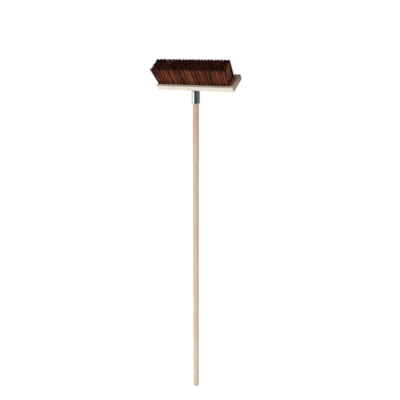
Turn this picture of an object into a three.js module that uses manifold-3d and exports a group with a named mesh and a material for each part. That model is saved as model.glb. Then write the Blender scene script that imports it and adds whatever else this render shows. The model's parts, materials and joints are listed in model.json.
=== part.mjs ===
// A push broom: a wooden block with five staggered rows of stiff tufts, held by a thick-walled metal
// socket on a round wooden handle. The handle stands along +Z with its lower end at the origin, and the
// head sits at the top with its bristles up and tilted towards -Y. Units are millimetres.
import * as THREE from "three";
import { mergeVertices } from "three/addons/utils/BufferGeometryUtils.js";
import Module from "manifold-3d";

const wasm = await Module();
wasm.setup();

// ---- Driving dimensions -------------------------------------------------------------------------
const GAP = 0.3; // clearance between pieces that touch on the real broom
const SIDES = 40; // sides of a round piece that shows

const HANDLE = { radius: 14, length: 1400, edge: 2.5, holeRadius: 5, holeHeight: 71 };

const HEAD_TILT = THREE.MathUtils.degToRad(38.5); // between the handle and the bristles
const HEAD_CENTRE = { x: 12, y: 10, z: 1446 }; // the middle of the block's back face

const BLOCK = { length: 400, width: 92, thickness: 26, cornerRadius: 6, backRound: 7, frontRound: 1.5 };

const ROWS = 5;
const LONG_ROW_TUFTS = 23; // the rows between these have one tuft less and sit half a pitch inward
const TUFT_PITCH = 16;
const ROW_PITCH = 15.5;
const TUFTS_OFFSET = -9; // the middle of the tufts along the block, from the block's own middle
const TUFT = { length: 88, rootRadius: 4.3, tipAlong: 10, tipAcross: 7.4, holeRadius: 4.7, holeDepth: 15 };
// Outward lean of the last tufts, in degrees: the rows fan out most at the front of the +X end.
const FLARE = { left: 4.2, rightFront: 9.4, rightRear: 2.6 };

const SOCKET = { radius: 18.5, bore: 14.7, mouth: 1362, edge: 1.6 };

// The plate is centred on the handle along the block.
const PLATE_CENTRE = { along: -HEAD_CENTRE.x, across: -4 };
const PLATE = { length: 96, width: 68, thickness: 3, cornerRadius: 8 };
const PLATE_SCREW = { along: 38, across: 26, length: 13, shank: 2, hole: 2.6, head: 4.2, headHeight: 2.4 };

const CLAMP_SCREW = { height: 1384, shank: 3, hole: 3.4, head: 5.5, headHeight: 3.6, slotWidth: 1.4 };

// ---- Solids -------------------------------------------------------------------------------------
function toSolid(geometry, matrix = new THREE.Matrix4()) {
  const bare = geometry.clone();
  bare.deleteAttribute("normal");
  bare.deleteAttribute("uv");
  bare.applyMatrix4(matrix);
  const merged = mergeVertices(bare, 1e-4);
  return new wasm.Manifold(
    new wasm.Mesh({
      numProp: 3,
      vertProperties: merged.attributes.position.array,
      triVerts: new Uint32Array(merged.index.array),
    }),
  );
}

function toGeometry(solid) {
  const mesh = solid.getMesh();
  const geometry = new THREE.BufferGeometry();
  geometry.setAttribute("position", new THREE.BufferAttribute(mesh.vertProperties, 3));
  geometry.setIndex(new THREE.BufferAttribute(mesh.triVerts, 1));
  geometry.computeVertexNormals();
  return geometry;
}

// A turned shape about Z. Each profile point is [radius, z], and the first and last lie on the axis.
function turned(profile, sides) {
  const points = profile.map(([radius, z]) => new THREE.Vector2(radius, z));
  const geometry = new THREE.LatheGeometry(points, sides);
  return geometry.rotateX(Math.PI / 2);
}

function rod(radius, low, high, sides = SIDES) {
  return turned([[0, low], [radius, low], [radius, high], [0, high]], sides);
}

function roundedRectangle(length, width, radius) {
  const x = length / 2 - radius;
  const y = width / 2 - radius;
  const shape = new THREE.Shape();
  shape.absarc(x, y, radius, 0, Math.PI / 2);
  shape.absarc(-x, y, radius, Math.PI / 2, Math.PI);
  shape.absarc(-x, -y, radius, Math.PI, 1.5 * Math.PI);
  shape.absarc(x, -y, radius, 1.5 * Math.PI, 2 * Math.PI);
  shape.closePath();
  return shape;
}

// A slab from z = 0 to its thickness, with both of its faces' edges rounded by the given radius.
function roundedSlab({ length, width, thickness, cornerRadius, edge }) {
  const insetRadius = Math.max(cornerRadius - edge, 0.5);
  const shape = roundedRectangle(length - 2 * edge, width - 2 * edge, insetRadius);
  const geometry = new THREE.ExtrudeGeometry(shape, {
    depth: thickness - 2 * edge,
    bevelEnabled: true,
    bevelThickness: edge,
    bevelSize: edge,
    bevelSegments: 4,
    curveSegments: 4,
  });
  return geometry.translate(0, 0, edge);
}

function moved(x, y, z) {
  return new THREE.Matrix4().makeTranslation(x, y, z);
}

// The head's own frame: X along the block, Y across it, Z out of the bristle face, from its back face.
const headMatrix = moved(HEAD_CENTRE.x, HEAD_CENTRE.y, HEAD_CENTRE.z).multiply(
  new THREE.Matrix4().makeRotationX(HEAD_TILT),
);

// ---- Tufts --------------------------------------------------------------------------------------
// How far a tuft leans along the block, for its row and its place from the middle of the row.
function leanOf(row, fromMiddle) {
  const right = THREE.MathUtils.lerp(FLARE.rightFront, FLARE.rightRear, row / (ROWS - 1));
  const most = THREE.MathUtils.degToRad(fromMiddle > 0 ? right : FLARE.left);
  const lastTuft = ((LONG_ROW_TUFTS - 1) / 2) * TUFT_PITCH;
  return (most * fromMiddle) / lastTuft;
}

function tuftPlaces(row) {
  const count = row % 2 === 0 ? LONG_ROW_TUFTS : LONG_ROW_TUFTS - 1;
  const y = (row - (ROWS - 1) / 2) * ROW_PITCH;
  return Array.from({ length: count }, (_, i) => {
    const fromMiddle = (i - (count - 1) / 2) * TUFT_PITCH;
    return { x: TUFTS_OFFSET + fromMiddle, y, lean: leanOf(row, fromMiddle) };
  });
}

// The frame of a tuft, from where it leaves the bristle face.
function tuftMatrix({ x, y, lean }) {
  return moved(x, y, BLOCK.thickness).multiply(new THREE.Matrix4().makeRotationY(lean));
}

// Tufts and their holes are six-sided, with two corners pointing along the row.
const TUFT_SIDES = 6;
const CORNERS_ALONG = Math.PI / TUFT_SIDES;

function tuftHole(place) {
  const mouthClearance = 3;
  const hole = rod(TUFT.holeRadius, -TUFT.holeDepth, mouthClearance, TUFT_SIDES).rotateZ(CORNERS_ALONG);
  return toSolid(hole, tuftMatrix(place));
}

// One tuft: a round root in its hole that spreads to an oval brush at the tip, a little over length.
function tuft(place) {
  const overLength = 4;
  const neck = 3;
  const tipRatio = TUFT.tipAcross / TUFT.tipAlong;
  const geometry = turned(
    [
      [0, GAP - TUFT.holeDepth],
      [TUFT.rootRadius, GAP - TUFT.holeDepth],
      [TUFT.rootRadius, neck],
      [TUFT.tipAlong, TUFT.length + overLength],
      [0, TUFT.length + overLength],
    ],
    TUFT_SIDES,
  ).rotateZ(CORNERS_ALONG);
  const position = geometry.attributes.position;
  for (let i = 0; i < position.count; i++) {
    const spread = THREE.MathUtils.clamp((position.getZ(i) - neck) / TUFT.length, 0, 1);
    position.setY(i, position.getY(i) * THREE.MathUtils.lerp(1, tipRatio, spread));
  }
  return toSolid(geometry, tuftMatrix(place));
}

function bristleRow(row) {
  const trimHeight = 40;
  const trimBox = new THREE.BoxGeometry(2 * BLOCK.length, 2 * BLOCK.width, trimHeight);
  const trim = toSolid(trimBox, moved(0, 0, BLOCK.thickness + TUFT.length + trimHeight / 2));
  const tufts = tuftPlaces(row).map(tuft);
  return tufts.reduce((joined, next) => joined.add(next)).subtract(trim);
}

// ---- Head ---------------------------------------------------------------------------------------
const plateScrewPlaces = [-1, 1].flatMap((side) =>
  [-1, 1].map((end) => ({
    x: PLATE_CENTRE.along + side * PLATE_SCREW.along,
    y: PLATE_CENTRE.across + end * PLATE_SCREW.across,
  })),
);

// Two thicker slabs overlap to give the block its own rounding on each face.
function block() {
  const extra = 30;
  const thickness = BLOCK.thickness + extra;
  const backRounded = toSolid(roundedSlab({ ...BLOCK, thickness, edge: BLOCK.backRound }));
  const frontEased = roundedSlab({ ...BLOCK, thickness, edge: BLOCK.frontRound });
  let solid = backRounded.intersect(toSolid(frontEased, moved(0, 0, -extra)));
  for (let row = 0; row < ROWS; row++) {
    for (const place of tuftPlaces(row)) {
      solid = solid.subtract(tuftHole(place));
    }
  }
  const pilotDepth = PLATE_SCREW.length - PLATE.thickness;
  for (const { x, y } of plateScrewPlaces) {
    solid = solid.subtract(toSolid(rod(PLATE_SCREW.hole, -1, pilotDepth, 16), moved(x, y, 0)));
  }
  return solid;
}

function mountingPlate() {
  const outline = roundedRectangle(PLATE.length, PLATE.width, PLATE.cornerRadius);
  const slab = new THREE.ExtrudeGeometry(outline, {
    depth: PLATE.thickness,
    bevelEnabled: false,
    curveSegments: 6,
  });
  let solid = toSolid(slab, moved(PLATE_CENTRE.along, PLATE_CENTRE.across, -GAP - PLATE.thickness));
  for (const { x, y } of plateScrewPlaces) {
    solid = solid.subtract(toSolid(rod(PLATE_SCREW.hole, -10, 1, 16), moved(x, y, 0)));
  }
  return solid;
}

// A pan-head wood screw with its head below the plate and its point in the block.
function plateScrew() {
  const headTop = -2 * GAP - PLATE.thickness;
  const { head, headHeight, shank, length } = PLATE_SCREW;
  const low = headTop - headHeight;
  const pan = [[0, low], [head * 0.6, low], [head * 0.9, low + headHeight * 0.3]];
  const stem = [[head, headTop], [shank, headTop], [shank, headTop + length - 4], [0, headTop + length]];
  const body = toSolid(turned([...pan, ...stem], 16));
  const recess = { length: 5, width: 1, depth: 0.6 };
  const slot = new THREE.BoxGeometry(recess.length, recess.width, 2 * recess.depth);
  const acrossSlot = slot.clone().rotateZ(Math.PI / 2);
  return body.subtract(toSolid(slot, moved(0, 0, low))).subtract(toSolid(acrossSlot, moved(0, 0, low)));
}

// ---- Socket and handle --------------------------------------------------------------------------
// The handle's hole and the clamp screw both lie along Y.
const towardsRear = new THREE.Matrix4().makeRotationX(-Math.PI / 2);
const clampMatrix = moved(0, 0, CLAMP_SCREW.height).multiply(towardsRear);

// A bright steel socket with a blind bore from below, whose top end is cut to the tilt of the plate.
function socket() {
  const { radius, bore, mouth, edge } = SOCKET;
  const boreEnd = HANDLE.length + GAP;
  const top = HEAD_CENTRE.z + 30;
  const inside = [[0, boreEnd], [bore, boreEnd], [bore, mouth]];
  const lip = [[radius - edge, mouth], [radius - edge * 0.3, mouth + edge * 0.3], [radius, mouth + edge]];
  const body = toSolid(turned([...inside, ...lip, [radius, top], [0, top]], SIDES));
  const boxHeight = 100;
  const plateBack = -PLATE.thickness - 2 * GAP;
  const atPlate = headMatrix.clone().multiply(moved(0, 0, plateBack + boxHeight / 2));
  const beyondPlate = toSolid(new THREE.BoxGeometry(200, 200, boxHeight), atPlate);
  const threadHole = rod(CLAMP_SCREW.hole, bore - 3, radius + 3, 20);
  return body.subtract(beyondPlate).subtract(toSolid(threadHole, clampMatrix));
}

// A slotted pan-head machine screw along +Z, with its tip just clear of the handle.
function clampScrew() {
  const { head, headHeight, shank, slotWidth } = CLAMP_SCREW;
  const seat = SOCKET.radius + GAP;
  const crown = [[head, seat + headHeight * 0.5], [head * 0.8, seat + headHeight], [0, seat + headHeight]];
  const stem = [[0, HANDLE.radius + GAP], [shank, HANDLE.radius + GAP], [shank, seat], [head, seat]];
  const body = toSolid(turned([...stem, ...crown], 20));
  const slot = new THREE.BoxGeometry(slotWidth, head * 3, headHeight);
  return body.subtract(toSolid(slot, moved(0, 0, seat + headHeight)));
}

function handle() {
  const { radius, length, edge, holeRadius, holeHeight } = HANDLE;
  const lower = [[0, 0], [radius - edge, 0], [radius - edge * 0.3, edge * 0.3], [radius, edge]];
  const upper = lower.map(([r, z]) => [r, length - z]).reverse();
  const stick = toSolid(turned([...lower, ...upper], SIDES));
  const hole = rod(holeRadius, -2 * radius, 2 * radius, 20);
  return stick.subtract(toSolid(hole, moved(0, 0, holeHeight).multiply(towardsRear)));
}

// ---- Materials and assembly ---------------------------------------------------------------------
const blockWood = () => new THREE.MeshStandardMaterial({ color: 0xe3d3c4, roughness: 0.7, metalness: 0 });
const handleWood = () => new THREE.MeshStandardMaterial({ color: 0xd6bfa9, roughness: 0.6, metalness: 0 });
const bristle = () => new THREE.MeshStandardMaterial({ color: 0x4a2018, roughness: 0.6, metalness: 0 });
const brightSteel = () => new THREE.MeshStandardMaterial({ color: 0xc4cacc, roughness: 0.2, metalness: 1 });
const screwSteel = () => new THREE.MeshStandardMaterial({ color: 0xb5b8b8, roughness: 0.35, metalness: 1 });

function piece(name, solid, material) {
  const mesh = new THREE.Mesh(toGeometry(solid), material);
  mesh.name = name;
  return mesh;
}

const broom = new THREE.Group();
broom.add(piece("handle", handle(), handleWood()));
broom.add(piece("handle_socket", socket(), brightSteel()));

const clamp = piece("clamp_screw", clampScrew(), screwSteel());
clamp.position.z = CLAMP_SCREW.height;
clamp.rotation.x = -Math.PI / 2;
broom.add(clamp);

const head = new THREE.Group();
head.position.set(HEAD_CENTRE.x, HEAD_CENTRE.y, HEAD_CENTRE.z);
head.rotation.x = HEAD_TILT;
broom.add(head);
head.add(piece("block", block(), blockWood()));
head.add(piece("mounting_plate", mountingPlate(), brightSteel()));

plateScrewPlaces.forEach(({ x, y }, i) => {
  const screw = piece(`plate_screw_${i + 1}`, plateScrew(), screwSteel());
  screw.position.set(x, y, 0);
  head.add(screw);
});

for (let row = 0; row < ROWS; row++) {
  head.add(piece(`bristle_row_${row + 1}`, bristleRow(row), bristle()));
}

export default broom;
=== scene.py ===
"""The look of a push broom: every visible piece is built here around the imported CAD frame.

The handle stands along +Z with its end on the floor. The head has its own frame: X along the block, Y
across it and Z out of the bristle face, from the middle of the block's back. Lengths are in metres.
"""

import json
import math

import bmesh
import bpy
import numpy as np
from mathutils import Matrix, Vector


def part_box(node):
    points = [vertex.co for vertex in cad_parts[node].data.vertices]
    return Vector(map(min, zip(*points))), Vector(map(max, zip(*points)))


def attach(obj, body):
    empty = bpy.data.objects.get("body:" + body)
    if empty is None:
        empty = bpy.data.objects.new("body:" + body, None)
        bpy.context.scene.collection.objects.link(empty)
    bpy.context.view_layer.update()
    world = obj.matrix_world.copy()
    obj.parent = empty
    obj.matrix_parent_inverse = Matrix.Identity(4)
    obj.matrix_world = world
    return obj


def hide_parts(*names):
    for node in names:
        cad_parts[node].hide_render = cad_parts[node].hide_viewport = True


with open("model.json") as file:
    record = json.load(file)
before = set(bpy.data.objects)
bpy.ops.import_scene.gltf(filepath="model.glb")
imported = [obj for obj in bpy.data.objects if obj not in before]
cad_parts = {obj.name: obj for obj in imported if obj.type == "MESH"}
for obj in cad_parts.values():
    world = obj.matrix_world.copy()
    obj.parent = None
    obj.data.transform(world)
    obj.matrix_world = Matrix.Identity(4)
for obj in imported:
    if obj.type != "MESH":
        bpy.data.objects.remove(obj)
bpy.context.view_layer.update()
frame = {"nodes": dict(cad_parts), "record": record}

MM = 0.001
TURN = 2 * math.pi
SIDES = 96  # of a large round piece
rng = np.random.default_rng(7)


# ---- Places and sizes from the frame --------------------------------------------------------------
def mount(name):
    return next(m for m in frame["record"]["mounts"] if m["name"] == name)


def extent(node, matrix):
    """The lowest and highest corner of a CAD node in the frame of the given matrix."""
    inverse = matrix.inverted()
    points = np.array([inverse @ v.co for v in frame["nodes"][node].data.vertices])
    return Vector(points.min(0)), Vector(points.max(0))


HEAD_HEIGHT = 114 * MM  # block and bristles together
head_axis = Vector(mount("sweeping_face")["axis"]).normalized()
head_across = head_axis.cross(Vector((1, 0, 0)))
block_middle = (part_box("block")[0].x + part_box("block")[1].x) / 2
head_origin = Vector(mount("sweeping_face")["pos_m"]) - HEAD_HEIGHT * head_axis
TUFTS_OFFSET = head_origin.x - block_middle  # the middle of the tufts, along the block
head_origin.x = block_middle
head_turn = Matrix((Vector((1, 0, 0)), head_across, head_axis)).transposed()
HEAD = Matrix.Translation(head_origin) @ head_turn.to_4x4()
HEAD_TILT = math.acos(head_axis.z)

block_low, block_high = extent("block", HEAD)
BLOCK = block_high - block_low  # length, width and thickness
plate_low, plate_high = extent("mounting_plate", HEAD)
PLATE = plate_high - plate_low
HANDLE_RADIUS, HANDLE_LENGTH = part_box("handle")[1].x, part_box("handle")[1].z
SOCKET_MOUTH, SOCKET_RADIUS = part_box("handle_socket")[0].z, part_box("handle_socket")[1].x

ROWS = 5
LONG_ROW_TUFTS = 23  # the rows between have one tuft less and sit half a pitch inward
TUFT_PITCH = 16 * MM
ROW_PITCH = 15.5 * MM
TUFTS_ALONG = (LONG_ROW_TUFTS - 1) * TUFT_PITCH  # from the first tuft's middle to the last one's
TUFT_LENGTH = HEAD_HEIGHT - BLOCK.z
# Outward lean of the last tufts, in degrees: the rows fan out most at the front of the +X end.
FLARE = {"left": 4.2, "right_front": 9.4, "right_rear": 2.6}
TUFT_HOLE = {"radius": 4.7 * MM, "depth": 15 * MM}


def lean_of(row, from_middle):
    """How far a tuft leans along the block, for its row and its place from the middle of the row."""
    rear_share = row / (ROWS - 1)
    right = FLARE["right_front"] + (FLARE["right_rear"] - FLARE["right_front"]) * rear_share
    most = math.radians(right if from_middle > 0 else FLARE["left"])
    return most * from_middle / ((LONG_ROW_TUFTS - 1) / 2 * TUFT_PITCH)


def tufts(row):
    """The frame of each tuft of a row, where it leaves the bristle face, and its share of the way to
    the row's end, from -1 to 1."""
    count = LONG_ROW_TUFTS - row % 2
    across = (row - (ROWS - 1) / 2) * ROW_PITCH
    made = []
    for i in range(count):
        from_middle = (i - (count - 1) / 2) * TUFT_PITCH
        place = Matrix.Translation((TUFTS_OFFSET + from_middle, across, BLOCK.z))
        lean = Matrix.Rotation(lean_of(row, from_middle), 4, "Y")
        made.append((HEAD @ place @ lean, from_middle * 2 / (count - 1) / TUFT_PITCH))
    return made


# ---- Meshes ---------------------------------------------------------------------------------------
def circle(radius, z, sides=SIDES):
    angles = [TURN * i / sides for i in range(sides)]
    return [(radius * math.cos(angle), radius * math.sin(angle), z) for angle in angles]


def walls(rings, sides):
    """The faces between neighbouring rings of points, where each ring has the same number of sides."""
    faces = []
    for ring in range(rings - 1):
        low, high = ring * sides, (ring + 1) * sides
        for i in range(sides):
            j = (i + 1) % sides
            faces.append((low + i, low + j, high + j, high + i))
    return faces


def lathe(profile, sides=SIDES):
    """A closed turned shape about Z. The profile's first and last points lie on the axis."""
    vertices = [(0, 0, profile[0][1])]
    for radius, z in profile[1:-1]:
        vertices += circle(radius, z, sides)
    vertices.append((0, 0, profile[-1][1]))
    last = len(vertices) - 1
    ring_starts = [1 + sides * k for k in range(len(profile) - 2)]
    faces = []
    for i in range(sides):
        j = (i + 1) % sides
        faces.append((0, ring_starts[0] + j, ring_starts[0] + i))
        faces.append((last, ring_starts[-1] + i, ring_starts[-1] + j))
        for low, high in zip(ring_starts, ring_starts[1:]):
            faces.append((low + i, low + j, high + j, high + i))
    return vertices, faces


def arc(centre, radius, start, end, steps):
    """Points [radius, z] of a round edge for a lathe profile, with its angles in degrees."""
    angles = [math.radians(start + (end - start) * i / steps) for i in range(steps + 1)]
    return [(centre[0] + radius * math.cos(a), centre[1] + radius * math.sin(a)) for a in angles]


def rounded_outline(length, width, radius, steps=8):
    x, y = length / 2 - radius, width / 2 - radius
    points = []
    for quarter, (cx, cy) in enumerate([(x, y), (-x, y), (-x, -y), (x, -y)]):
        points += arc((cx, cy), radius, 90 * quarter, 90 * quarter + 90, steps)
    return points


def rounded_slab(size, corner, low_edge, high_edge, steps=7):
    """A slab from z = 0 to size.z, with rounded corners and its own round edge on each face."""
    insets = []
    for inset, z in arc((0, low_edge), low_edge, -90, 0, steps):
        insets.append((low_edge - inset, z))
    for inset, z in arc((0, size.z - high_edge), high_edge, 0, 90, steps):
        insets.append((high_edge - inset, z))
    sharpest = 0.3 * MM
    vertices = []
    for inset, z in insets:
        radius = max(corner - inset, sharpest)
        outline = rounded_outline(size.x - 2 * inset, size.y - 2 * inset, radius)
        vertices += [(x, y, z) for x, y in outline]
    count = len(vertices) // len(insets)
    caps = [tuple(reversed(range(count))), tuple(range(len(vertices) - count, len(vertices)))]
    return vertices, caps + walls(len(insets), count)


def solid(name, shape, matrix=Matrix.Identity(4)):
    """An object from a closed shape, with its faces turned outward."""
    vertices, faces = shape
    data = bpy.data.meshes.new(name)
    data.from_pydata([matrix @ Vector(v) for v in vertices], [], faces)
    mesh = bmesh.new()
    mesh.from_mesh(data)
    bmesh.ops.recalc_face_normals(mesh, faces=mesh.faces)
    mesh.to_mesh(data)
    mesh.free()
    made = bpy.data.objects.new(name, data)
    bpy.context.scene.collection.objects.link(made)
    return made


def joined(shapes):
    """Several shapes, each with its matrix, as one shape."""
    vertices, faces = [], []
    for (points, polygons), matrix in shapes:
        start = len(vertices)
        vertices += [matrix @ Vector(p) for p in points]
        faces += [tuple(start + i for i in polygon) for polygon in polygons]
    return vertices, faces


def bake_modifiers(made):
    graph = bpy.context.evaluated_depsgraph_get()
    mesh = bpy.data.meshes.new_from_object(made.evaluated_get(graph))
    made.modifiers.clear()
    made.data = mesh


def cut(made, shape, matrix=Matrix.Identity(4)):
    """Cuts a shape out of an object. Both are enlarged meanwhile, as small details fail otherwise."""
    points = [v.co for v in made.data.vertices]
    enlarge = Matrix.Scale(1 / MM, 4) @ Matrix.Translation(-sum(points, Vector()) / len(points))
    made.data.transform(enlarge)
    tool = solid("tool", shape, enlarge @ matrix)
    boolean = made.modifiers.new("cut", "BOOLEAN")
    boolean.operation = "DIFFERENCE"
    boolean.solver = "EXACT"
    boolean.object = tool
    bake_modifiers(made)
    made.data.transform(enlarge.inverted())
    bpy.data.objects.remove(tool)


def smooth(made, crease=35):
    """Smooth shading, with edges sharper than crease degrees kept sharp and flat faces kept flat."""
    made.data.shade_smooth()
    made.data.set_sharp_from_angle(angle=math.radians(crease))
    weighted = made.modifiers.new("normals", "WEIGHTED_NORMAL")
    weighted.keep_sharp = True
    bake_modifiers(made)


def fit(made, body, slot, paint, *nodes):
    """Gives a finished piece its body and hides the CAD nodes it stands for. It is painted if bare. The
    slot is not used.
    """
    if not made.data.materials:
        made.data.materials.append(paint)
    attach(made, body)
    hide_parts(*nodes)
    return made


# ---- Materials ------------------------------------------------------------------------------------
WHITE = (1.0, 1.0, 1.0, 1.0)


class Graph:
    """Short calls for building a node tree."""

    def __init__(self, tree):
        self.tree = tree

    def node(self, kind, inputs=None, **settings):
        made = self.tree.nodes.new(kind)
        for name, value in settings.items():
            setattr(made, name, value)
        for name, value in (inputs or {}).items():
            self.set(made.inputs[name], value)
        return made

    def set(self, socket, value):
        if isinstance(value, bpy.types.NodeSocket):
            self.tree.links.new(value, socket)
        else:
            socket.default_value = value

    def place(self, **settings):
        """Object coordinates, moved, turned and scaled."""
        source = self.node("ShaderNodeTexCoord").outputs["Object"]
        return self.node("ShaderNodeMapping", {"Vector": source, **settings}).outputs["Vector"]

    def stretched(self, vector, along):
        """Coordinates whose patterns run 1 / along times longer in X."""
        inputs = {"Vector": vector, "Scale": (along, 1, 1)}
        return self.node("ShaderNodeMapping", inputs).outputs["Vector"]

    def noise(self, vector, size, detail=3.0):
        """Noise whose features are about size metres across."""
        inputs = {"Vector": vector, "Scale": 1 / size, "Detail": detail, "Roughness": 0.55}
        return self.node("ShaderNodeTexNoise", inputs).outputs["Fac"]

    def maths(self, operation, first, second=0.0):
        return self.node("ShaderNodeMath", {0: first, 1: second}, operation=operation).outputs[0]

    def remap(self, value, low, high, to_low=0.0, to_high=1.0):
        inputs = {
            "Value": value,
            "From Min": low,
            "From Max": high,
            "To Min": to_low,
            "To Max": to_high,
        }
        return self.node("ShaderNodeMapRange", inputs).outputs["Result"]

    def mix(self, share, first, second, blend="MIX"):
        made = self.node("ShaderNodeMix", data_type="RGBA", blend_type=blend, clamp_factor=True)
        colours = [s for s in made.inputs if s.type == "RGBA"]
        self.set(made.inputs["Factor"], share)
        for socket, value in zip(colours, (first, second)):
            self.set(socket, value)
        return next(s for s in made.outputs if s.type == "RGBA")

    def ramp(self, value, stops):
        """A colour ramp, from a list of (position, colour)."""
        made = self.node("ShaderNodeValToRGB", {"Fac": value})
        elements = made.color_ramp.elements
        while len(elements) < len(stops):
            elements.new(1)
        for element, (position, colour) in zip(elements, stops):
            element.position = position
            element.color = colour
        return made.outputs["Color"]

    def bump(self, height, distance, strength=1.0):
        inputs = {"Height": height, "Distance": distance, "Strength": strength}
        return self.node("ShaderNodeBump", inputs).outputs["Normal"]

    def axis_part(self, vector, axis):
        return self.node("ShaderNodeSeparateXYZ", {"Vector": vector}).outputs[axis]


def colour(red, green, blue):
    """An sRGB colour from 0 to 255 as the linear colour that a node takes."""
    linear = [((c / 255 + 0.055) / 1.055) ** 2.4 for c in (red, green, blue)]
    return (*linear, 1.0)


def material(name):
    made = bpy.data.materials.new(name)
    made.use_nodes = True
    shader = made.node_tree.nodes["Principled BSDF"]
    return made, Graph(made.node_tree), shader


def edge_nearness(graph, vector, size, reach):
    """1 on a slab's edges and 0 from reach inward, for coordinates from the slab's middle."""
    gaps = []
    for axis in "XYZ":
        offset = graph.maths("ABSOLUTE", graph.axis_part(vector, axis))
        half = size["XYZ".index(axis)] / 2
        gaps.append(graph.maths("SUBTRACT", half, offset))
    smaller = graph.maths("MINIMUM", gaps[0], gaps[1])
    larger = graph.maths("MAXIMUM", gaps[0], gaps[1])
    second_gap = graph.maths("MAXIMUM", smaller, graph.maths("MINIMUM", larger, gaps[2]))
    return graph.remap(second_gap, 0.0, reach, 1.0, 0.0)


def beech(graph, shader, grain, pale, warm, end_colour, end_facing):
    """Beech whose grain runs along X of the given coordinates. end_facing is 1 where it is cut across."""
    long_grain = graph.stretched(grain, 0.06)
    rings = graph.node(
        "ShaderNodeTexWave",
        {
            "Vector": long_grain,
            "Scale": 52.0,
            "Distortion": 5.0,
            "Detail": 3.0,
            "Detail Scale": 0.6,
            "Detail Roughness": 0.6,
        },
        wave_type="RINGS",
        rings_direction="X",
    ).outputs["Fac"]
    fibres = graph.noise(long_grain, 0.9 * MM, detail=4)
    flecks = graph.noise(graph.stretched(grain, 0.14), 0.55 * MM, detail=2)
    clouds = graph.noise(graph.stretched(grain, 0.3), 45 * MM, detail=3)
    tone = graph.mix(graph.remap(clouds, 0.35, 0.65), pale, warm)
    soft_rings = graph.remap(rings, 0.15, 0.95, 1.0, 0.9)
    ring_shade = graph.ramp(soft_rings, [(0.8, (0.8, 0.74, 0.7, 1)), (1, WHITE)])
    ringed = graph.mix(1.0, tone, ring_shade, "MULTIPLY")
    streak_shade = graph.ramp(fibres, [(0.3, (0.86, 0.83, 0.81, 1)), (0.6, WHITE)])
    streaked = graph.mix(1.0, ringed, streak_shade, "MULTIPLY")
    fleck_share = graph.remap(flecks, 0.62, 0.7, 0.0, 0.35)
    flecked = graph.mix(fleck_share, streaked, colour(176, 132, 104))
    pores = graph.noise(grain, 0.8 * MM, detail=2)
    cut_across = graph.mix(graph.remap(pores, 0.4, 0.62), end_colour, graph.mix(0.5, end_colour, tone))
    surface = graph.mix(end_facing, flecked, graph.mix(0.35, cut_across, ringed, "MULTIPLY"))
    height = graph.maths("ADD", fibres, graph.maths("MULTIPLY", flecks, -0.35))
    graph.set(shader.inputs["Roughness"], graph.remap(fibres, 0.3, 0.7, 0.62, 0.48))
    graph.set(shader.inputs["Normal"], graph.bump(height, 0.12 * MM, 0.6))
    shader.inputs["Specular IOR Level"].default_value = 0.3
    return surface


def facing(graph, axis):
    """1 where a surface faces along a world axis, either way, and 0 where it is side on."""
    normal = graph.node("ShaderNodeNewGeometry").outputs["Normal"]
    return graph.remap(graph.maths("ABSOLUTE", graph.axis_part(normal, axis)), 0.55, 0.95)


def turned_back(point):
    """The Mapping location that brings a point to the origin after the head's tilt is turned back."""
    return -(Matrix.Rotation(-HEAD_TILT, 3, "X") @ Vector(point))


def spot(graph, vector, centre, reach):
    """1 at a point and 0 beyond its reach along each axis."""
    scale = [1 / r for r in reach]
    location = [-c * s for c, s in zip(centre, scale)]
    inputs = {"Vector": vector, "Location": location, "Scale": scale}
    near = graph.node("ShaderNodeMapping", inputs).outputs["Vector"]
    away = graph.node("ShaderNodeVectorMath", {0: near}, operation="LENGTH").outputs["Value"]
    return graph.remap(away, 1.0, 0.3)


# Spots on the block: the middle and the reach of each along X, Y and Z, from the block's middle.
KNOT = ((-28 * MM, -BLOCK.y / 2, -1 * MM), (13 * MM, 12 * MM, 4.5 * MM))
# painted shade: a grey darkening over the rear of the +X end
SHADED_REAR_END = ((BLOCK.x / 2, BLOCK.y / 2, 0), (14 * MM, 70 * MM, 50 * MM))
# darkens the rear edge of the bristle face to near black, most towards the +X end
DARK_REAR_EDGE = ((BLOCK.x / 2, BLOCK.y / 2, BLOCK.z / 2), (120 * MM, 16 * MM, 12 * MM))


def painted_bristle_shadow(graph, middle):
    """How strongly the bristles' shadow is painted as a brown darkening on the face around them, for
    coordinates from the block's middle.
    """
    last_along, last_across = TUFTS_ALONG / 2, (ROWS - 1) / 2 * ROW_PITCH
    along = graph.maths("ABSOLUTE", graph.maths("SUBTRACT", graph.axis_part(middle, "X"), TUFTS_OFFSET))
    across = graph.maths("ABSOLUTE", graph.axis_part(middle, "Y"))
    fade_start, fade_end, fade_across = 15 * MM, 42 * MM, 6 * MM
    fading_along = graph.remap(along, last_along + fade_start, last_along + fade_end, 1.0, 0.08)
    fading_across = graph.remap(across, last_across, last_across + fade_across, 1.0, 0.0)
    face, inner_skin, outer_skin = BLOCK.z / 2, 1.5 * MM, 0.3 * MM
    on_face = graph.remap(graph.axis_part(middle, "Z"), face - inner_skin, face - outer_skin)
    return graph.maths("MULTIPLY", graph.maths("MULTIPLY", fading_along, fading_across), on_face)


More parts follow.
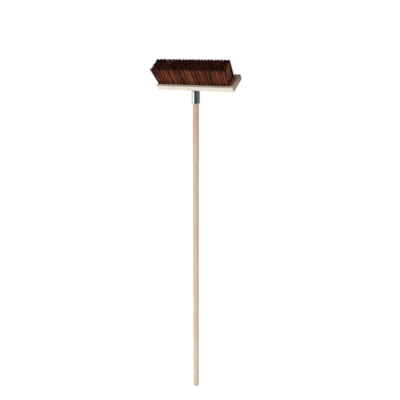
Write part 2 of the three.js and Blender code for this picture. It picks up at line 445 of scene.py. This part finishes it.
def block_wood():
    made, graph, shader = material("block_beech")
    centre = HEAD @ Vector((0, 0, BLOCK.z / 2))
    middle = graph.place(Location=turned_back(centre), Rotation=(-HEAD_TILT, 0, 0))
    from_pith = {"Vector": middle, "Location": (0, 12 * MM, 70 * MM)}
    grain = graph.node("ShaderNodeMapping", from_pith).outputs["Vector"]
    surface = beech(
        graph,
        shader,
        grain,
        pale=colour(223, 215, 204),
        warm=colour(219, 205, 194),
        end_colour=colour(166, 124, 96),
        end_facing=facing(graph, "X"),
    )
    grime = graph.noise(middle, 14 * MM, detail=4)
    near_edge = edge_nearness(graph, middle, BLOCK, 5 * MM)
    wear = graph.maths("MULTIPLY", near_edge, graph.remap(grime, 0.45, 0.7))
    worn_and_shaded = graph.mix(graph.maths("MULTIPLY", wear, 0.4), surface, colour(178, 150, 126))
    knot = spot(graph, middle, *KNOT)
    swirl = graph.remap(graph.noise(middle, 3 * MM, detail=3), 0.42, 0.58)
    knotted = graph.mix(graph.maths("MULTIPLY", knot, swirl), worn_and_shaded, colour(186, 150, 128))
    # painted shadow: the bristle face darkens to brown around the tufts
    bristle_shadowed = graph.mix(painted_bristle_shadow(graph, middle), knotted, colour(116, 68, 50))
    # painted shade over the rear of the +X end
    rear_end_shade = graph.maths("MULTIPLY", spot(graph, middle, *SHADED_REAR_END), 0.7)
    end_shaded = graph.mix(rear_end_shade, bristle_shadowed, colour(128, 112, 92))
    # the rear edge of the bristle face darkened to near black
    rear_edge_dark = graph.maths("MULTIPLY", spot(graph, middle, *DARK_REAR_EDGE), 0.95)
    rear_edge_darkened = graph.mix(rear_edge_dark, end_shaded, colour(34, 25, 22))
    graph.set(shader.inputs["Base Color"], rear_edge_darkened)
    return made


def handle_wood():
    made, graph, shader = material("handle_beech")
    grain = graph.place(Rotation=(0, math.radians(90), 0), Location=(0, 0.031, 0.052))
    surface = beech(
        graph,
        shader,
        grain,
        pale=colour(219, 200, 181),
        warm=colour(213, 189, 169),
        end_colour=colour(196, 164, 134),
        end_facing=facing(graph, "Z"),
    )
    height = graph.axis_part(graph.place(), "Z")
    near_foot = graph.remap(height, 0.0, 18 * MM, 1.0, 0.0)
    grime = graph.noise(graph.place(), 9 * MM, detail=4)
    scuffs = graph.maths("MULTIPLY", near_foot, graph.remap(grime, 0.4, 0.62, 0.1, 0.6))
    scuffed = graph.mix(scuffs, surface, colour(186, 154, 128))
    # painted shade: the colour darkens towards the top, under the head
    head_shadow = graph.remap(height, 0.45 * HANDLE_LENGTH, HANDLE_LENGTH, 0.0, 0.85)
    worn_and_shaded = graph.mix(head_shadow, scuffed, graph.mix(1.0, scuffed, (0.82, 0.8, 0.78, 1), "MULTIPLY"))
    graph.set(shader.inputs["Base Color"], worn_and_shaded)
    return made


def drilled_wood_with_painted_light():
    """Freshly drilled wood for the wall of the hanging hole: paler than the outside, and brightened to
    near white as painted light.
    """
    made, graph, shader = material("drilled_beech_with_painted_light")
    fuzz = graph.noise(graph.place(), 0.7 * MM, detail=3)
    # near white: pale fresh wood, brightened further as painted light in the hole
    graph.set(shader.inputs["Base Color"], graph.mix(fuzz, colour(255, 253, 246), colour(250, 243, 232)))
    graph.set(shader.inputs["Roughness"], graph.remap(fuzz, 0.3, 0.7, 0.8, 0.65))
    graph.set(shader.inputs["Normal"], graph.bump(fuzz, 0.1 * MM, 0.5))
    return made


def bright_steel():
    made, graph, shader = material("bright_steel")
    place = graph.place()
    mottle = graph.noise(place, 6 * MM, detail=4)
    drawn = graph.noise(graph.place(Scale=(1, 1, 0.05)), 0.8 * MM, detail=2)
    tone = graph.mix(graph.remap(mottle, 0.35, 0.65), colour(206, 213, 216), colour(226, 230, 230))
    graph.set(shader.inputs["Base Color"], tone)
    graph.set(shader.inputs["Roughness"], graph.remap(mottle, 0.35, 0.7, 0.07, 0.16))
    height = graph.maths("ADD", mottle, graph.maths("MULTIPLY", drawn, 0.05))
    graph.set(shader.inputs["Normal"], graph.bump(height, 0.25 * MM, 0.6))
    shader.inputs["Metallic"].default_value = 1.0
    return made


def screw_steel():
    made, graph, shader = material("screw_steel")
    place = graph.place()
    stain = graph.noise(place, 3 * MM, detail=4)
    tone = graph.mix(graph.remap(stain, 0.4, 0.7), colour(208, 208, 202), colour(176, 172, 160))
    graph.set(shader.inputs["Base Color"], tone)
    graph.set(shader.inputs["Roughness"], graph.remap(stain, 0.35, 0.7, 0.26, 0.42))
    graph.set(shader.inputs["Normal"], graph.bump(graph.noise(place, 0.5 * MM), 0.05 * MM, 0.5))
    shader.inputs["Metallic"].default_value = 1.0
    return made


def weld_steel():
    made, graph, shader = material("weld_steel")
    heat = graph.noise(graph.place(), 2.5 * MM, detail=4)
    tone = graph.mix(graph.remap(heat, 0.4, 0.65), colour(150, 150, 148), colour(96, 92, 92))
    graph.set(shader.inputs["Base Color"], tone)
    graph.set(shader.inputs["Roughness"], graph.remap(heat, 0.35, 0.7, 0.35, 0.6))
    graph.set(shader.inputs["Normal"], graph.bump(heat, 0.2 * MM, 0.6))
    shader.inputs["Metallic"].default_value = 1.0
    return made


def bristle_fibre():
    """Stiff red-brown fibre. Each filament has its own tone, and shade is painted darker at its root and
    cut tip.
    """
    made, graph, shader = material("bristle_fibre")
    tone = graph.node("ShaderNodeAttribute", attribute_name="tone").outputs["Fac"]
    along = graph.node("ShaderNodeAttribute", attribute_name="along").outputs["Fac"]
    fibre = graph.ramp(
        tone,
        [
            (0.0, colour(50, 21, 10)),
            (0.35, colour(104, 48, 26)),
            (0.65, colour(142, 70, 42)),
            (1.0, colour(206, 126, 90)),
        ],
    )
    # painted shade: darker towards each fibre's root and its cut tip
    shade = graph.ramp(
        along,
        [
            (0.0, (0.25, 0.22, 0.2, 1)),
            (0.22, (0.8, 0.78, 0.76, 1)),
            (0.5, WHITE),
            (0.9, (0.92, 0.88, 0.86, 1)),
            (1.0, (0.3, 0.26, 0.24, 1)),
        ],
    )
    patches = graph.noise(graph.place(), 11 * MM, detail=3)
    shaded = graph.mix(1.0, fibre, shade, "MULTIPLY")
    olive = graph.mix(graph.remap(patches, 0.5, 0.75, 0.0, 0.35), shaded, colour(84, 50, 18))
    graph.set(shader.inputs["Base Color"], olive)
    graph.set(shader.inputs["Roughness"], graph.remap(tone, 0.0, 1.0, 0.6, 0.42))
    shader.inputs["Specular IOR Level"].default_value = 0.2
    return made


# ---- Handle ---------------------------------------------------------------------------------------
HANGING_HOLE = {"radius": 5 * MM, "height": 71 * MM, "rim": 2.2 * MM}


def handle_stick():
    """A sanded dowel with softly rounded ends and a hanging hole with countersunk rims."""
    edge = 3.6 * MM
    foot = arc((HANDLE_RADIUS - edge, edge), edge, -90, 0, 7)
    top = arc((HANDLE_RADIUS - edge, HANDLE_LENGTH - edge), edge, 0, 90, 7)
    ring_spacing = 25 * MM
    heights = np.arange(ring_spacing, HANDLE_LENGTH - ring_spacing, ring_spacing)
    sides = [(HANDLE_RADIUS, z) for z in heights]
    stick = solid("handle_stick", lathe([(0, 0), *foot, *sides, *top, (0, HANDLE_LENGTH)]))

    radius, rim = HANGING_HOLE["radius"], HANGING_HOLE["rim"]
    surface = HANDLE_RADIUS
    profile = [
        (0, -2 * surface),
        (radius + rim, -2 * surface),
        (radius + rim, -surface),
        (radius, -surface + rim),
        (radius, surface - rim),
        (radius + rim, surface),
        (radius + rim, 2 * surface),
        (0, 2 * surface),
    ]
    lying = Matrix.Translation((0, 0, HANGING_HOLE["height"])) @ Matrix.Rotation(-TURN / 4, 4, "X")
    cut(stick, lathe(profile, 48), lying)
    stick.data.materials.append(handle_wood())
    stick.data.materials.append(drilled_wood_with_painted_light())
    for face in stick.data.polygons:
        away = math.hypot(face.center.x, face.center.z - HANGING_HOLE["height"])
        radial = math.hypot(face.center.x, face.center.y)
        if away < radius + rim and radial < HANDLE_RADIUS - 0.1 * MM:
            face.material_index = 1
    smooth(stick)
    return fit(stick, "stick", "handle_wood", None, "handle")


# ---- Socket and its fittings ----------------------------------------------------------------------
def plate_plane_height(x, y):
    """The height at which a vertical line meets the back of the mounting plate."""
    on_plane = head_origin + plate_low.z * head_axis
    return on_plane.z + (head_axis.y * (on_plane.y - y)) / head_axis.z


def socket_tube(steel):
    """A thick tube with a blind bore and a rolled mouth, cut at the top to the tilt of the plate."""
    bore = HANDLE_RADIUS + 0.7 * MM
    bore_end = HANDLE_LENGTH + 0.3 * MM
    edge = 1.5 * MM
    joint_gap = 0.2 * MM
    inside = [(bore, bore_end), (bore, SOCKET_MOUTH + edge)]
    inner_lip = arc((bore + edge, SOCKET_MOUTH + edge), edge, 180, 270, 5)[1:]
    outer_lip = arc((SOCKET_RADIUS - edge, SOCKET_MOUTH + edge), edge, -90, 0, 6)
    wall_rings = 12
    profile = [*inside, *inner_lip, *outer_lip]
    vertices = []
    for radius, z in profile:
        vertices += circle(radius, z)
    wall_start = profile[-1][1]
    for ring in range(1, wall_rings + 1):
        for x, y, _ in circle(SOCKET_RADIUS, 0):
            top = plate_plane_height(x, y) - joint_gap
            vertices.append((x, y, wall_start + (top - wall_start) * ring / wall_rings))
    rings = len(vertices) // SIDES
    caps = [tuple(range(SIDES)), tuple(range((rings - 1) * SIDES, rings * SIDES))]
    tube = solid("socket_tube", (vertices, caps + walls(rings, SIDES)))
    hole_radius, overrun = 3.4 * MM, 3 * MM
    screw_hole = [
        (0, bore - overrun),
        (hole_radius, bore - overrun),
        (hole_radius, SOCKET_RADIUS + overrun),
        (0, SOCKET_RADIUS + overrun),
    ]
    cut(tube, lathe(screw_hole, 32), clamp_matrix())
    smooth(tube)
    return fit(tube, "head", "socket_metal", steel, "handle_socket")


def clamp_matrix():
    """The clamp screw's frame, with +Z along its axis, pointing to +Y."""
    low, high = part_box("clamp_screw")
    return Matrix.Translation((0, 0, (low.z + high.z) / 2)) @ Matrix.Rotation(-TURN / 4, 4, "X")


def socket_weld():
    """The rippled weld bead that joins the socket's cut top to the mounting plate."""
    bead, below_plate = 2.2 * MM, 0.4 * MM
    around, section = 160, 10
    ripples = 44
    vertices, faces = [], []
    for i in range(around):
        angle = TURN * i / around
        outward = Vector((math.cos(angle), math.sin(angle), 0))
        seam = outward * SOCKET_RADIUS
        seam.z = plate_plane_height(seam.x, seam.y) - below_plate
        swell = 1 + 0.14 * math.sin(ripples * angle) + 0.08 * rng.uniform(-1, 1)
        flat_out = (outward - outward.dot(head_axis) * head_axis).normalized()
        for k in range(section):
            turn = TURN * k / section
            offset = flat_out * math.cos(turn) - head_axis * math.sin(turn)
            vertices.append(seam + offset * bead * swell)
    for i in range(around):
        here, there = i * section, (i + 1) % around * section
        for k in range(section):
            other = (k + 1) % section
            faces.append((here + k, here + other, there + other, there + k))
    weld = solid("socket_weld", (vertices, faces))
    plate_plane_cut(weld)
    smooth(weld, 60)
    return fit(weld, "head", "socket_metal", weld_steel())


def plate_plane_cut(made):
    """Trims away what lies beyond the back of the mounting plate."""
    reach = 120 * MM
    slab = rounded_slab(Vector((reach, reach, reach)), 1 * MM, 0.5 * MM, 0.5 * MM, 2)
    cut(made, slab, HEAD @ Matrix.Translation((-head_origin.x, 0, plate_low.z)))


def mounting_plate(steel):
    """A pressed plate with soft edges and four countersunk screw holes."""
    edge = 0.9 * MM
    centre = (plate_low + plate_high) / 2
    matrix = HEAD @ Matrix.Translation((centre.x, centre.y, plate_low.z))
    plate = solid("plate", rounded_slab(PLATE, 8 * MM, edge, 0.3 * MM, 4), matrix)
    hole, rim = 2.6 * MM, 0.5 * MM
    profile = [
        (0, -1 * MM),
        (hole + rim, -1 * MM),
        (hole + rim, 0),
        (hole, rim),
        (hole, PLATE.z + 1 * MM),
        (0, PLATE.z + 1 * MM),
    ]
    screw_hole = lathe(profile, 32)
    places = [HEAD @ Matrix.Translation((x, y, plate_low.z)) for x, y in screw_places()]
    cut(plate, joined([(screw_hole, place) for place in places]))
    smooth(plate)
    return fit(plate, "head", "socket_metal", steel, "mounting_plate")


def screw_places():
    places = []
    for number in range(1, 5):
        low, high = extent(f"plate_screw_{number}", HEAD)
        places.append(((low.x + high.x) / 2, (low.y + high.y) / 2))
    return places


def cross_recess(width, length, depth):
    """The two bars of a tapered cross, each with its turn. Its mouth is at z = 0, its point at depth."""
    slots = []
    for turn in (0, TURN / 4):
        bar = []
        for share, z in ((1, -1 * MM), (1, 0), (0.45, depth)):
            x, y = length / 2 * share, width / 2 * (0.4 + 0.6 * share)
            bar.append([(x, y, z), (-x, y, z), (-x, -y, z), (x, -y, z)])
        vertices = [point for ring in bar for point in ring]
        caps = [(3, 2, 1, 0), (8, 9, 10, 11)]
        slots.append(((vertices, caps + walls(3, 4)), Matrix.Rotation(turn, 4, "Z")))
    return slots


def plate_screws(steel):
    """Cross-recess pan-head wood screws, each turned its own way."""
    head, head_height, rounding = 4.2 * MM, 2.4 * MM, 1.3 * MM
    shank, root, pitch = 2 * MM, 1.5 * MM, 1.1 * MM
    neck, point_length, point_radius = 1 * MM, 5 * MM, 0.9 * MM
    for number, (x, y) in enumerate(screw_places(), 1):
        low, high = extent(f"plate_screw_{number}", HEAD)
        top = low.z + head_height
        crown = arc((head - rounding, low.z + rounding), rounding, -90, 0, 6)
        point = high.z - point_length
        thread = []
        turns = int((point - top - neck) / pitch)
        for step in range(turns):
            z = top + neck + step * pitch
            thread += [(root, z), (shank, z + pitch / 2)]
        end = [(point_radius, point), (0, high.z)]
        profile = [(0, low.z), *crown, (head, top), (root, top), *thread, *end]
        turn = Matrix.Rotation(rng.uniform(0, TURN), 4, "Z")
        screw = solid(f"plate_screw_head_{number}", lathe(profile, 40))
        for slot, slot_turn in cross_recess(width=1.1 * MM, length=5 * MM, depth=1.5 * MM):
            cut(screw, slot, slot_turn @ Matrix.Translation((0, 0, low.z)))
        screw.data.transform(HEAD @ Matrix.Translation((x, y, 0)) @ turn)
        smooth(screw, 30)
        fit(screw, "head", "screw_metal", steel, f"plate_screw_{number}")


def clamp_screw(steel):
    """A slotted pan-head machine screw that pinches the handle in its socket."""
    head, head_height, shank = 5.5 * MM, 3.6 * MM, 3 * MM
    seat = SOCKET_RADIUS + 0.2 * MM
    tip = HANDLE_RADIUS + 0.3 * MM
    rounding, chamfer, head_edge = 2 * MM, 0.6 * MM, 0.4 * MM
    crown = arc((head - rounding, seat + head_height - rounding), rounding, 0, 90, 7)
    stem = [(0, tip), (shank - chamfer, tip), (shank, tip + chamfer), (shank, seat)]
    rim = [(head - head_edge, seat), (head, seat + head_edge)]
    profile = [*stem, *rim, *crown, (0, seat + head_height)]
    screw = solid("clamp_screw_slotted", lathe(profile, 48), clamp_matrix())
    slot_size = Vector((1.4 * MM, 3 * head, head_height))
    slot = rounded_slab(slot_size, 0.4 * MM, 0.3 * MM, 0.3 * MM, 2)
    slot_turn = Matrix.Rotation(math.radians(24), 4, "Z")
    slot_floor = Matrix.Translation((0, 0, seat + head_height * 0.5))
    cut(screw, slot, clamp_matrix() @ slot_turn @ slot_floor)
    smooth(screw, 30)
    return fit(screw, "clamp", "screw_metal", steel, "clamp_screw")


# ---- Block ----------------------------------------------------------------------------------------
def block_body():
    """The planed beech block, with a blind hole for each tuft and for each screw."""
    corner, back_edge, front_edge = 6 * MM, 7 * MM, 1.5 * MM
    block = solid("block_body", rounded_slab(BLOCK, corner, back_edge, front_edge), HEAD)
    radius, depth = TUFT_HOLE["radius"], TUFT_HOLE["depth"]
    rim = 0.35 * MM
    profile = [
        (0, -depth - 1 * MM),
        (radius, -depth),
        (radius, -rim),
        (radius + rim, 0),
        (radius + rim, 3 * MM),
        (0, 3 * MM),
    ]
    hole = lathe(profile, 20)
    holes = [(hole, matrix) for row in range(ROWS) for matrix, _ in tufts(row)]
    pilot_start, pilot_radius, pilot_wall, pilot_point = -1 * MM, 2.6 * MM, 9 * MM, 10 * MM
    pilot_sides = [(pilot_radius, pilot_start), (pilot_radius, pilot_wall)]
    pilot = lathe([(0, pilot_start), *pilot_sides, (0, pilot_point)], 20)
    pilots = [(pilot, HEAD @ Matrix.Translation((x, y, 0))) for x, y in screw_places()]
    cut(block, joined(holes + pilots))
    smooth(block)
    return fit(block, "head", "block_wood", block_wood(), "block")


# ---- Bristles -------------------------------------------------------------------------------------
FIBRES_PER_TUFT = 96
CLUMPS_PER_TUFT = 12
FIBRE_RADIUS = 0.45 * MM
FIBRE_SIDES = 5
FIBRE_RINGS = 6
ROOT_DEPTH = 7 * MM  # how far a fibre starts below the bristle face
ROOT_SPREAD = 3.8 * MM
TIP_SPREAD = (8.6 * MM, 8.0 * MM)
END_SPLAY = 3 * MM  # how far the last tufts bend outward, with no neighbour to hold them
INSET_SPLAY = 6 * MM  # and how much further in the rows that start half a pitch inward
SPLAY_POWER = 5  # how strongly the splay keeps to the last tufts
OPENING_POWER = 0.56  # under 1, so that a tuft opens most near its root
ROOT_JITTER = 0.05  # a share of the tuft's spread, like the next three
TIP_JITTER = 0.07
STRAY_JITTER = 0.3
CLUMP_REACH = 0.8
CLUMP_PULL = 0.25  # how far of the way to its clump's middle a tip moves
STRAY_SHARE = 0.02  # of the fibres
CLUMP_UNEVENNESS = 0.6 * MM  # in length
FIBRE_UNEVENNESS = 0.4 * MM
BOW = 0.6 * MM
CLUMP_TONE = (0.38, 0.26)  # mean and spread, where 0 is the darkest tone and 1 the palest
FIBRE_TONE_SPREAD = 0.16
GOLDEN_ANGLE = math.pi * (3 - math.sqrt(5))


def tuft_fibres(row, end_share):
    """One tuft's fibres in its own frame, as centrelines [fibre, ring, xyz], and their tones."""
    count = FIBRES_PER_TUFT
    order = np.arange(count)
    radius = np.sqrt((order + 0.5) / count)
    angle = order * GOLDEN_ANGLE + rng.uniform(0, TURN)
    start = np.stack([radius * np.cos(angle), radius * np.sin(angle)], 1)
    start += rng.normal(0, ROOT_JITTER, start.shape)

    clumps = rng.uniform(-CLUMP_REACH, CLUMP_REACH, (CLUMPS_PER_TUFT, 2))
    clump = np.linalg.norm(start[:, None] - clumps[None], axis=2).argmin(1)
    end = start + CLUMP_PULL * (clumps[clump] - start) + rng.normal(0, TIP_JITTER, start.shape)
    stray = rng.random(count) < STRAY_SHARE
    end[stray] += rng.normal(0, STRAY_JITTER, (stray.sum(), 2))

    clump_length = rng.normal(0, CLUMP_UNEVENNESS, CLUMPS_PER_TUFT)
    length = TUFT_LENGTH + clump_length[clump] + rng.normal(0, FIBRE_UNEVENNESS, count)
    share = np.linspace(0, 1, FIBRE_RINGS)
    height = -ROOT_DEPTH + share[None, :] * (length[:, None] + ROOT_DEPTH)
    climb = np.clip(height / TUFT_LENGTH, 0, None)
    opening = climb[..., None] ** OPENING_POWER
    spread = ROOT_SPREAD + opening * (np.array(TIP_SPREAD) - ROOT_SPREAD)
    way = start[:, None] + opening * (end - start)[:, None]
    bow = rng.normal(0, BOW, (count, 1, 2)) * np.sin(math.pi * share)[None, :, None]
    flat = way * spread + bow
    splay = (END_SPLAY + INSET_SPLAY * (row % 2)) * end_share**SPLAY_POWER
    flat[..., 0] += splay * climb**0.5
    lines = np.concatenate([flat, height[..., None]], 2)
    clump_tone = rng.normal(*CLUMP_TONE, CLUMPS_PER_TUFT)
    tone = np.clip(clump_tone[clump] + rng.normal(0, FIBRE_TONE_SPREAD, count), 0, 1)
    return lines, tone


def tubes(lines):
    """Vertices and faces of thin closed tubes along many centrelines at once."""
    count, rings, _ = lines.shape
    angle = TURN * np.arange(FIBRE_SIDES) / FIBRE_SIDES
    circle = np.stack([np.cos(angle), np.sin(angle), np.zeros(FIBRE_SIDES)], 1)
    thickness = FIBRE_RADIUS * rng.uniform(0.85, 1.1, (count, 1, 1, 1))
    taper = np.linspace(1, 0.85, rings)[None, :, None, None]
    vertices = lines[:, :, None] + circle[None, None] * thickness * taper
    ring = np.arange(FIBRE_SIDES)
    after = (ring + 1) % FIBRE_SIDES
    quads = []
    for k in range(rings - 1):
        low, high = k * FIBRE_SIDES, (k + 1) * FIBRE_SIDES
        quads.append(np.stack([low + ring, low + after, high + after, high + ring], 1))
    quads = np.concatenate(quads)
    last = (rings - 1) * FIBRE_SIDES
    caps = np.stack([ring[::-1], last + ring])
    starts = np.arange(count)[:, None, None] * rings * FIBRE_SIDES
    all_quads = (quads[None] + starts).reshape(-1, 4)
    all_caps = (caps[None] + starts).reshape(-1, FIBRE_SIDES)
    return vertices.reshape(-1, 3), all_quads, all_caps


def bristle_row(row, fibre_material):
    """One row of tufts as a single object of separate fibres."""
    all_vertices, all_faces, all_tones, all_along = [], [], [], []
    start = 0
    for tuft_frame, end_share in tufts(row):
        lines, tone = tuft_fibres(row, end_share)
        vertices, quads, caps = tubes(lines)
        matrix = np.array(tuft_frame)
        vertices = vertices @ matrix[:3, :3].T + matrix[:3, 3]
        all_vertices.append(vertices)
        all_faces += (quads + start).tolist() + (caps + start).tolist()
        all_tones.append(np.repeat(tone, FIBRE_RINGS * FIBRE_SIDES))
        along = np.repeat(np.linspace(0, 1, FIBRE_RINGS), FIBRE_SIDES)
        all_along.append(np.tile(along, len(tone)))
        start += len(vertices)
    fibres = solid(f"bristles_{row + 1}", ([], []))
    fibres.data.from_pydata(np.concatenate(all_vertices).tolist(), [], all_faces)
    for name, values in (("tone", all_tones), ("along", all_along)):
        attribute = fibres.data.attributes.new(name, "FLOAT", "POINT")
        attribute.data.foreach_set("value", np.concatenate(values).astype(np.float32))
    fibres.data.shade_smooth()
    fibres.data.set_sharp_from_angle(angle=math.radians(80))
    return fit(fibres, "head", "bristle", fibre_material, f"bristle_row_{row + 1}")


# ---- Studio ---------------------------------------------------------------------------------------
KEY_AZIMUTH = -49  # of the large softbox, in degrees from -Y towards +X
CAMERA = {
    "place": (1.793, -2.8205, 1.6188),
    "lens": 66.65,
    "yaw": math.radians(32.127),
    "pitch": math.radians(-11.817),
}


def camera():
    """The camera that was fitted to the photo."""
    data = bpy.data.cameras.new("camera")
    data.lens = CAMERA["lens"]
    data.sensor_width = 36
    data.clip_end = 100
    made = bpy.data.objects.new("camera", data)
    made.location = CAMERA["place"]
    made.rotation_euler = (TURN / 4 + CAMERA["pitch"], 0, CAMERA["yaw"])
    bpy.context.scene.collection.objects.link(made)
    bpy.context.scene.camera = made


def softbox(name, azimuth, distance, height, size, power, aim_height):
    """A rectangular light, turned to a point on the Z axis, with its azimuth in degrees from -Y to +X."""
    data = bpy.data.lights.new(name, "AREA")
    data.shape = "RECTANGLE"
    data.size, data.size_y = size
    data.energy = power
    made = bpy.data.objects.new(name, data)
    angle = math.radians(azimuth)
    made.location = (distance * math.sin(angle), -distance * math.cos(angle), height)
    aim = Vector((0, 0, aim_height)) - made.location
    made.rotation_euler = aim.to_track_quat("-Z", "Y").to_euler()
    made.visible_camera = False
    bpy.context.scene.collection.objects.link(made)


def mirrored_band(graph, direction):
    """What glossy surfaces see round the room: dark behind the camera and grey elsewhere."""
    behind = graph.maths("MULTIPLY", graph.axis_part(direction, "Y"), -1.0)
    azimuth = graph.maths("ARCTAN2", graph.axis_part(direction, "X"), behind)
    return graph.ramp(
        graph.remap(azimuth, -math.pi, math.pi),
        [
            (0.0, (0.38, 0.4, 0.41, 1)),
            (0.12, (0.46, 0.52, 0.57, 1)),
            (0.34, (0.36, 0.42, 0.46, 1)),
            (0.46, (0.4, 0.4, 0.4, 1)),
            (0.52, (0.06, 0.07, 0.07, 1)),
            (0.63, (0.04, 0.05, 0.05, 1)),
            (0.7, (0.16, 0.17, 0.17, 1)),
            (0.85, (0.17, 0.18, 0.18, 1)),
            (1.0, (0.38, 0.4, 0.41, 1)),
        ],
    )


def studio_world():
    """A white room for the camera, which lights most from the left front and less from above and behind.

    Near the horizon, glossy surfaces see the mirrored band instead.
    """
    world = bpy.data.worlds.new("studio")
    bpy.context.scene.world = world
    world.use_nodes = True
    graph = Graph(world.node_tree)
    background = world.node_tree.nodes["Background"]
    direction = graph.node("ShaderNodeTexCoord").outputs["Generated"]
    key = math.radians(KEY_AZIMUTH)
    both = {0: direction, 1: (math.sin(key), -math.cos(key), 0)}
    towards_key = graph.node("ShaderNodeVectorMath", both, operation="DOT_PRODUCT").outputs["Value"]
    level = graph.ramp(
        graph.remap(towards_key, -1.0, 1.0),
        [
            (0.1, (0.5, 0.5, 0.5, 1)),
            (0.5, (0.94, 0.93, 0.92, 1)),
            (0.9, (1.15, 1.15, 1.14, 1)),
        ],
    )
    overhead = graph.mix(1.0, level, (0.5, 0.5, 0.5, 1), "MULTIPLY")
    dome = graph.mix(graph.remap(graph.axis_part(direction, "Z"), 0.1, 0.8), level, overhead)
    height = graph.maths("ABSOLUTE", graph.axis_part(direction, "Z"))
    mirrored = graph.mix(graph.remap(height, 0.15, 0.5), mirrored_band(graph, direction), dome)
    path = graph.node("ShaderNodeLightPath")
    light = graph.mix(path.outputs["Is Glossy Ray"], dome, mirrored)
    seen = graph.mix(path.outputs["Is Camera Ray"], light, WHITE)
    graph.set(background.inputs["Color"], seen)
    background.inputs["Strength"].default_value = 1.0


def floor():
    """A plain white floor. Glossy surfaces see the same dark and grey band in it as round the horizon."""
    radius = 7.0
    mesh = bmesh.new()
    bmesh.ops.create_circle(mesh, cap_ends=True, radius=radius, segments=128)
    data = bpy.data.meshes.new("floor")
    mesh.to_mesh(data)
    mesh.free()
    made = bpy.data.objects.new("floor", data)
    bpy.context.scene.collection.objects.link(made)
    paint, graph, shader = material("floor_white")
    grain = graph.noise(graph.place(), 1.5, detail=2)
    graph.set(shader.inputs["Base Color"], graph.mix(grain, (0.93, 0.93, 0.93, 1), (0.96, 0.96, 0.96, 1)))
    shader.inputs["Roughness"].default_value = 0.9
    shader.inputs["Specular IOR Level"].default_value = 0.1
    shader.inputs["Emission Color"].default_value = WHITE
    shader.inputs["Emission Strength"].default_value = 0.72
    mirrored = graph.node("ShaderNodeEmission", {"Color": mirrored_band(graph, graph.place())})
    glossy_ray = graph.node("ShaderNodeLightPath").outputs["Is Glossy Ray"]
    shaders = {0: glossy_ray, 1: shader.outputs["BSDF"], 2: mirrored.outputs["Emission"]}
    mixed = graph.node("ShaderNodeMixShader", shaders).outputs["Shader"]
    graph.set(paint.node_tree.nodes["Material Output"].inputs["Surface"], mixed)
    data.materials.append(paint)


# ---- The broom ------------------------------------------------------------------------------------
bright = bright_steel()
plated = screw_steel()
fibre = bristle_fibre()

handle_stick()
socket_tube(bright)
socket_weld()
mounting_plate(bright)
plate_screws(plated)
clamp_screw(plated)
block_body()
for row in range(ROWS):
    bristle_row(row, fibre)

floor()
studio_world()
softbox("key", KEY_AZIMUTH, distance=2.6, height=1.3, size=(1.9, 0.9), power=7, aim_height=1.3)
softbox("high_key", -30, distance=2.2, height=2.9, size=(1.2, 0.8), power=5, aim_height=1.45)
softbox("foot_fill", 46, distance=1.6, height=0.35, size=(0.5, 0.5), power=2.6, aim_height=0.1)
camera()
bpy.context.scene.view_settings.view_transform = "Standard"
